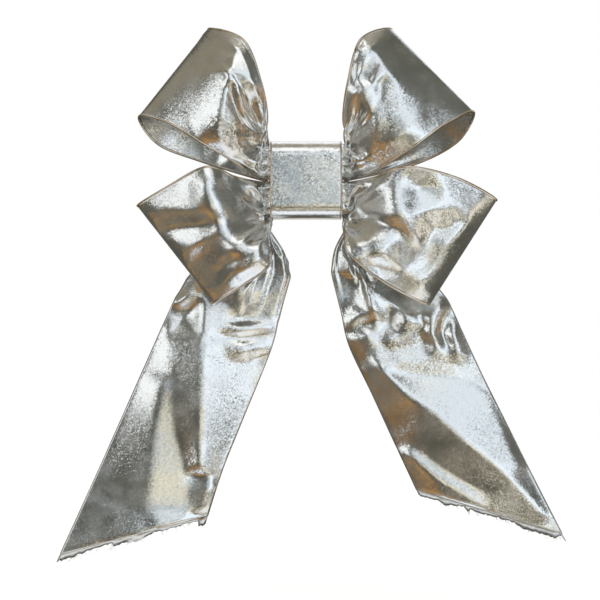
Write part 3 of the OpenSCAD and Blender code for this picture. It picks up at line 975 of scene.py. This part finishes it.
# The room that the foil mirrors, as soft round patches: soft boxes, dark corners and warm furniture.
# Each has degrees right of the camera and up, half angle of its full part and of its soft edge, colour.
# A later patch covers an earlier one. Between them the room is ROOM_DARK.
ROOM = [
    (0, 80, 26, 48, (0.36, 0.32, 0.25)),
    (0, -72, 14, 24, (1.05, 1.09, 1.15)),
    (6, -7, 8, 13, (1.04, 0.93, 0.70)),
    (25, -1, 10, 18, (1.12, 1.20, 1.30)),
    (0, 4, 7, 11, (0.36, 0.43, 0.48)),
    (19, 21, 9, 17, (0.92, 1.00, 1.08)),
    (0, 15, 5, 9, (1.20, 1.22, 1.25)),
    (-42, 8, 11, 19, (1.22, 1.24, 1.24)),
    (-72, 42, 14, 26, (0.27, 0.24, 0.18)),
    (0, 46, 9, 22, (1.30, 1.30, 1.30)),
    (62, 32, 18, 32, (0.13, 0.13, 0.11)),
    (52, -15, 6, 13, (1.20, 1.10, 0.93)),
    (62, 5, 5, 12, (0.26, 0.24, 0.20)),
    (84, -8, 6, 14, (0.50, 0.28, 0.11)),
    (29, -34, 6, 15, (1.10, 1.01, 0.83)),
    (38, -54, 10, 22, (1.00, 0.97, 0.93)),
    (41, -20, 4, 9, (0.12, 0.12, 0.11)),
    (3, -35, 4, 9, (0.95, 0.84, 0.64)),
    (-74, 0, 8, 18, (0.38, 0.355, 0.31)),
    (-44, -36, 9, 22, (0.19, 0.165, 0.125)),
    (-34, -19, 5, 10, (0.25, 0.135, 0.05)),
    (-66, -40, 3, 10, (0.45, 0.26, 0.10)),
    (-25, -39, 6, 14, (0.50, 0.27, 0.09)),
    (100, 5, 12, 24, (0.60, 0.61, 0.62)),
    (-125, 5, 14, 30, (0.56, 0.34, 0.15)),
    (150, 15, 18, 40, (1.00, 1.02, 1.06)),
    (-165, -15, 12, 26, (0.80, 0.76, 0.66)),
    (180, 50, 14, 30, (1.10, 1.10, 1.12)),
]
ROOM_DARK = (0.104, 0.101, 0.084)

FLOOR_HALF = 3.0          # half the floor's side,
FLOOR_DROP = 0.06         # and its distance below the tails
VIEW_X = -0.005           # middle of the view,
VIEW_Z = -0.102
VIEW_Y = -0.03            # the plane in which it is
VIEW_W = 0.511            # this wide,
CAMERA_DISTANCE = 2.4     # and how far in front of that plane the camera is
SENSOR_W = 36.0


def toward(right, up):
    """Direction so many degrees right of the camera and up, seen from the bow."""
    right, up = math.radians(right), math.radians(up)
    return Vector((math.sin(right) * math.cos(up), -math.cos(right) * math.cos(up), math.sin(up)))


def world_light():
    """The room, with plain white where the camera looks past the bow."""
    world = bpy.data.worlds.new("studio")
    bpy.context.scene.world = world
    n = Nodes(world)
    direction = n.new("ShaderNodeTexCoord").outputs["Generated"]
    colour = n.new("ShaderNodeRGB").outputs[0]
    colour.default_value = (*ROOM_DARK, 1.0)
    for right, up, full, soft, tone in ROOM:
        facing = n.new("ShaderNodeVectorMath", {0: direction, 1: toward(right, up)},
                       operation="DOT_PRODUCT").outputs["Value"]
        amount = n.new("ShaderNodeMapRange", {"Value": facing, "From Min": math.cos(math.radians(soft)),
                                              "From Max": math.cos(math.radians(full))},
                       interpolation_type="SMOOTHSTEP").outputs["Result"]
        colour = n.new("ShaderNodeMix", {0: amount, 6: colour, 7: (*tone, 1.0)}, data_type="RGBA").outputs[2]
    lit = n.new("ShaderNodeBackground", {"Color": colour, "Strength": 1.0})
    white = n.new("ShaderNodeBackground", {"Color": (1, 1, 1, 1), "Strength": 1.0})
    seen = n.new("ShaderNodeLightPath").outputs["Is Camera Ray"]
    mixed = n.new("ShaderNodeMixShader", {0: seen, 1: lit.outputs[0], 2: white.outputs[0]})
    n.new("ShaderNodeOutputWorld", {"Surface": mixed.outputs[0]})


def floor():
    """Plain pale floor below the hanging bow."""
    material = bpy.data.materials.new("pale_floor")
    n = Nodes(material)
    n.surface({"Base Color": (0.95, 0.95, 0.95, 1), "Roughness": 0.9,
               "Emission Color": (1, 1, 1, 1), "Emission Strength": 0.6})
    height = cad_box[0][2] - FLOOR_DROP
    corners = [(x * FLOOR_HALF, y * FLOOR_HALF, height) for x, y in ((-1, -1), (1, -1), (1, 1), (-1, 1))]
    mesh = bpy.data.meshes.new("floor")
    mesh.from_pydata(corners, [], [(0, 1, 2, 3)])
    mesh.materials.append(material)
    plane = bpy.data.objects.new("floor", mesh)
    bpy.context.scene.collection.objects.link(plane)
    plane.visible_glossy = False


def camera():
    """Looks straight at the bow's front, as the photo does."""
    data = bpy.data.cameras.new("camera")
    eye = bpy.data.objects.new("camera", data)
    bpy.context.scene.collection.objects.link(eye)
    data.sensor_width = SENSOR_W
    data.lens = SENSOR_W * CAMERA_DISTANCE / VIEW_W
    eye.location = (VIEW_X, VIEW_Y - CAMERA_DISTANCE, VIEW_Z)
    eye.rotation_euler = (math.radians(90), 0, 0)
    bpy.context.scene.camera = eye


bpy.context.scene.view_settings.view_transform = "Standard"
world_light()
floor()
camera()
